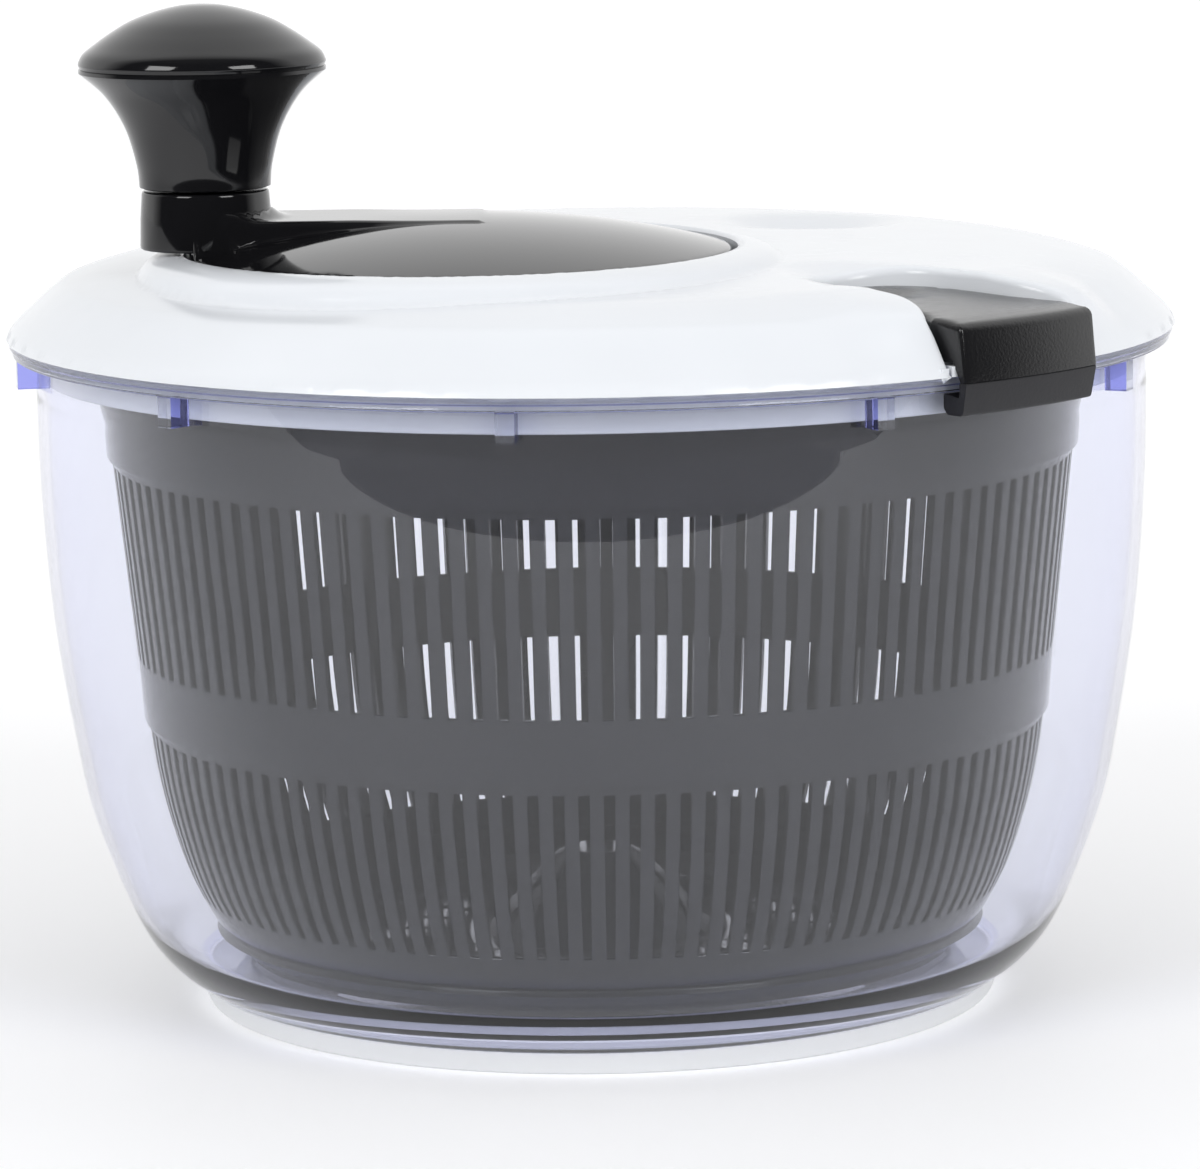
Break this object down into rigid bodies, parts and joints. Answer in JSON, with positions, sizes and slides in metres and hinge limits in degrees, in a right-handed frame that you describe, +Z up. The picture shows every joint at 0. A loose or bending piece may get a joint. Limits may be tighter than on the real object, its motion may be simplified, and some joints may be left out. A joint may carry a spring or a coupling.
{
  "type": "salad spinner",
  "caption": "Clear-bowl salad spinner: slotted basket spun by a geared crank in the lid, with a turning knob and a press latch on each side.",
  "frame": {"origin": "middle of the circle that the foot ring rests on, on the resting plane", "axes": "+Z up along the basket's spin axis; the front, with the dial to its left and the front latch to its right, is -Y"},
  "size_m": [0.258, 0.258, 0.223],
  "materials": {
    "clear_plastic": "clear polished plastic",
    "milky_rubber": "translucent matte soft ring",
    "grey_plastic": "semi-gloss charcoal",
    "white_plastic": "glossy cool white",
    "gloss_black": "glossy",
    "satin_black": "satin, fine grain",
    "soft_black": "matte soft grip",
    "bearing_plastic": "natural acetal",
    "steel": "plated"
  },
  "bodies": {
    "bowl": {"bowl": "clear_plastic", "foot_ring": "milky_rubber"},
    "bush": {"pivot_bush": "bearing_plastic"},
    "basket": {"basket": "grey_plastic"},
    "lid": {"lid_shell": "white_plastic", "gear_cover": "white_plastic", "gear_cover_screws": "steel", "crank_bush": "bearing_plastic", "pinion_bush": "bearing_plastic", "latch_front_pin": "steel", "latch_front_spring": "steel", "latch_rear_pin": "steel", "latch_rear_spring": "steel"},
    "crank": {"crank_arm": "gloss_black", "crank_gear": "bearing_plastic", "crank_washer": "steel", "crank_screw": "steel", "knob_pin": "steel", "knob_washer": "steel", "knob_screw": "steel"},
    "knob": {"knob_body": "gloss_black", "knob_cap": "gloss_black"},
    "driver": {"drive_pinion": "bearing_plastic", "driver_disc": "white_plastic", "driver_washer": "steel", "driver_screw": "steel"},
    "latch_front": {"latch_front_lever": "satin_black", "latch_front_hook": "soft_black"},
    "latch_rear": {"latch_rear_lever": "satin_black", "latch_rear_hook": "soft_black"}
  },
  "joints": [
    {"name": "lid_lift", "type": "slide", "parent": "bowl", "child": "lid", "axis": [0, 0, 1], "range_m": [0, 0.32], "deforming": ["latch_front_hook", "latch_rear_hook"]},
    {"name": "crank_turn", "type": "hinge", "parent": "lid", "child": "crank", "pos_m": [-0.02748, -0.02906, 0.165], "axis": [0, 0, 1], "continuous": true},
    {"name": "knob_spin", "type": "hinge", "parent": "crank", "child": "knob", "pos_m": [-0.08248, -0.02906, 0.195], "axis": [0, 0, 1], "continuous": true},
    {"name": "driver_spin", "type": "hinge", "parent": "lid", "child": "driver", "pos_m": [0, 0, 0.153], "axis": [0, 0, 1], "continuous": true},
    {"name": "basket_spin", "type": "hinge", "parent": "bowl", "child": "bush", "pos_m": [0, 0, 0.024], "axis": [0, 0, 1], "continuous": true},
    {"name": "basket_lift", "type": "slide", "parent": "bush", "child": "basket", "axis": [0, 0, 1], "range_m": [0, 0.16]},
    {"name": "latch_front_press", "type": "hinge", "parent": "lid", "child": "latch_front", "pos_m": [0.08768, -0.08768, 0.1555], "axis": [-0.7071, -0.7071, 0], "range_deg": [0, 12], "stiffness_Nm_per_rad": 0.8, "springref_deg": -8.59, "deforming": ["latch_front_spring"]},
    {"name": "latch_rear_press", "type": "hinge", "parent": "lid", "child": "latch_rear", "pos_m": [-0.08768, 0.08768, 0.1555], "axis": [0.7071, 0.7071, 0], "range_deg": [0, 12], "stiffness_Nm_per_rad": 0.8, "springref_deg": -8.59, "deforming": ["latch_rear_spring"]}
  ],
  "couplings": [
    {"joint": "driver_spin", "follows": "crank_turn", "ratio": -3},
    {"joint": "basket_spin", "follows": "crank_turn", "ratio": -3},
    {"joint": "basket_lift", "follows": "lid_lift", "ratio": 0.5}
  ]
}
